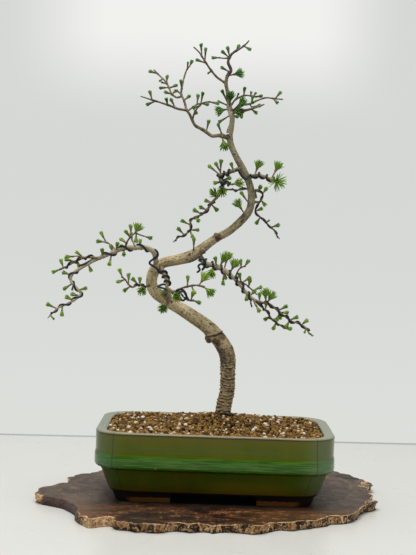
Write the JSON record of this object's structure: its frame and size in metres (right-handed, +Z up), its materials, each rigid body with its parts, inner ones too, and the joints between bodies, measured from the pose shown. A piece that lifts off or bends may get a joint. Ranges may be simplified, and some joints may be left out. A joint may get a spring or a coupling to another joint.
{
  "type": "larch bonsai tree",
  "caption": "Larch bonsai with an S-curved bare trunk and short needle tufts on wired branches, in a glazed rectangular pot with cut corners, on a flat burl slab.",
  "frame": {"origin": "centre of the slab's flat underside, where the piece stands on a table", "axes": "+Z up along the tree, -Y towards the front long side of the pot, +X to the right seen from the front"},
  "size_m": [0.458, 0.424, 0.6136],
  "materials": {
    "slab": "oiled burl, matt, with a rough bark edge",
    "pot": "glossy olive green glaze over brown clay",
    "netting": "matt black",
    "soil": "loose baked clay and pumice grains",
    "bark": "smooth young bark, ringed near the soil",
    "foliage": "soft green needles on brown twigs",
    "wire": "black anodised, satin"
  },
  "bodies": {
    "root": {"slab": "slab", "pot": "pot", "drain_mesh_left": "netting", "drain_mesh_right": "netting", "soil": "soil", "trunk": "bark", "crown": "foliage", "branch_upper_left": "foliage", "branch_right_mid": "foliage", "branch_left_mid": "foliage", "branch_left_low": "foliage", "branch_left_small": "foliage", "branch_hook": "foliage", "branch_right_low": "foliage", "spray_upper": "foliage", "spray_bend": "foliage", "spray_middle": "foliage", "spray_front": "foliage", "spray_knot": "foliage", "wire_left_hook": "wire", "wire_left_low": "wire", "wire_right_low": "wire", "wire_right_inner": "wire", "wire_mid": "wire", "wire_left_mid": "wire", "wire_back": "wire", "wire_left_small": "wire"}
  },
  "joints": []
}
